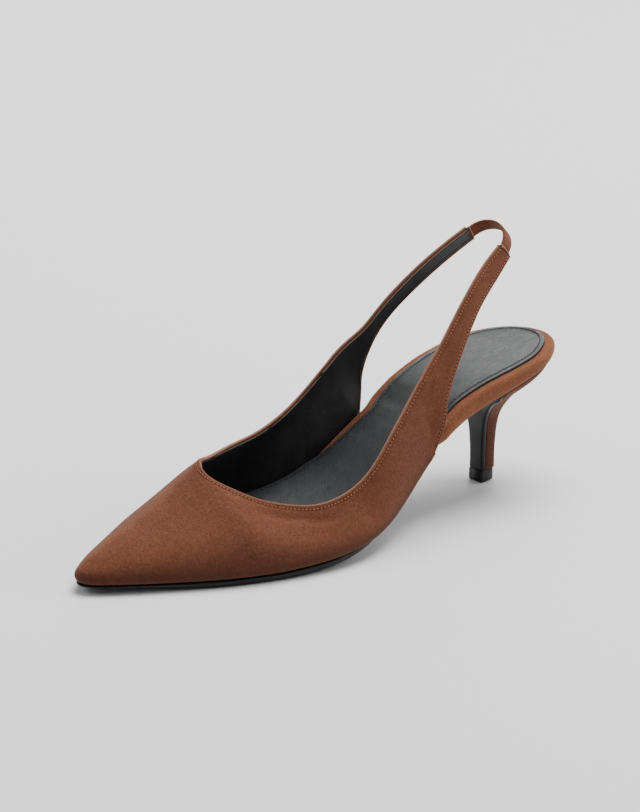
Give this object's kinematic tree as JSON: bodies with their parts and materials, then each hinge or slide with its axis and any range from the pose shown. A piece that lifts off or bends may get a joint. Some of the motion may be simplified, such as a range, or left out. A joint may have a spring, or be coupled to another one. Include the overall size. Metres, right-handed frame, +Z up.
{
  "type": "slingback pump",
  "caption": "Left slingback pump with a pointed toe, a kitten heel, a suede upper with two rising straps and an elastic strap behind the heel.",
  "frame": {"origin": "on the floor, under the middle of the whole shoe's box", "axes": "+Z up, the toe points to -Y, +X is the wearer's outer side"},
  "size_m": [0.0816, 0.248, 0.1137],
  "materials": {
    "upper_suede": "brown suede, matt, with a soft nap",
    "strap_suede": "brown suede over elastic, matt",
    "insole_suede": "brown suede wrapped round the insole board, matt",
    "sock_leather": "smooth black leather, soft sheen",
    "sole_black": "black, satin",
    "heel_suede": "brown suede cover, matt",
    "lift_black": "black, satin"
  },
  "bodies": {
    "root": {"upper": "upper_suede", "back_strap": "strap_suede", "insole": "insole_suede", "sock": "sock_leather", "outsole": "sole_black", "heel": "heel_suede", "top_lift": "lift_black"}
  },
  "joints": []
}
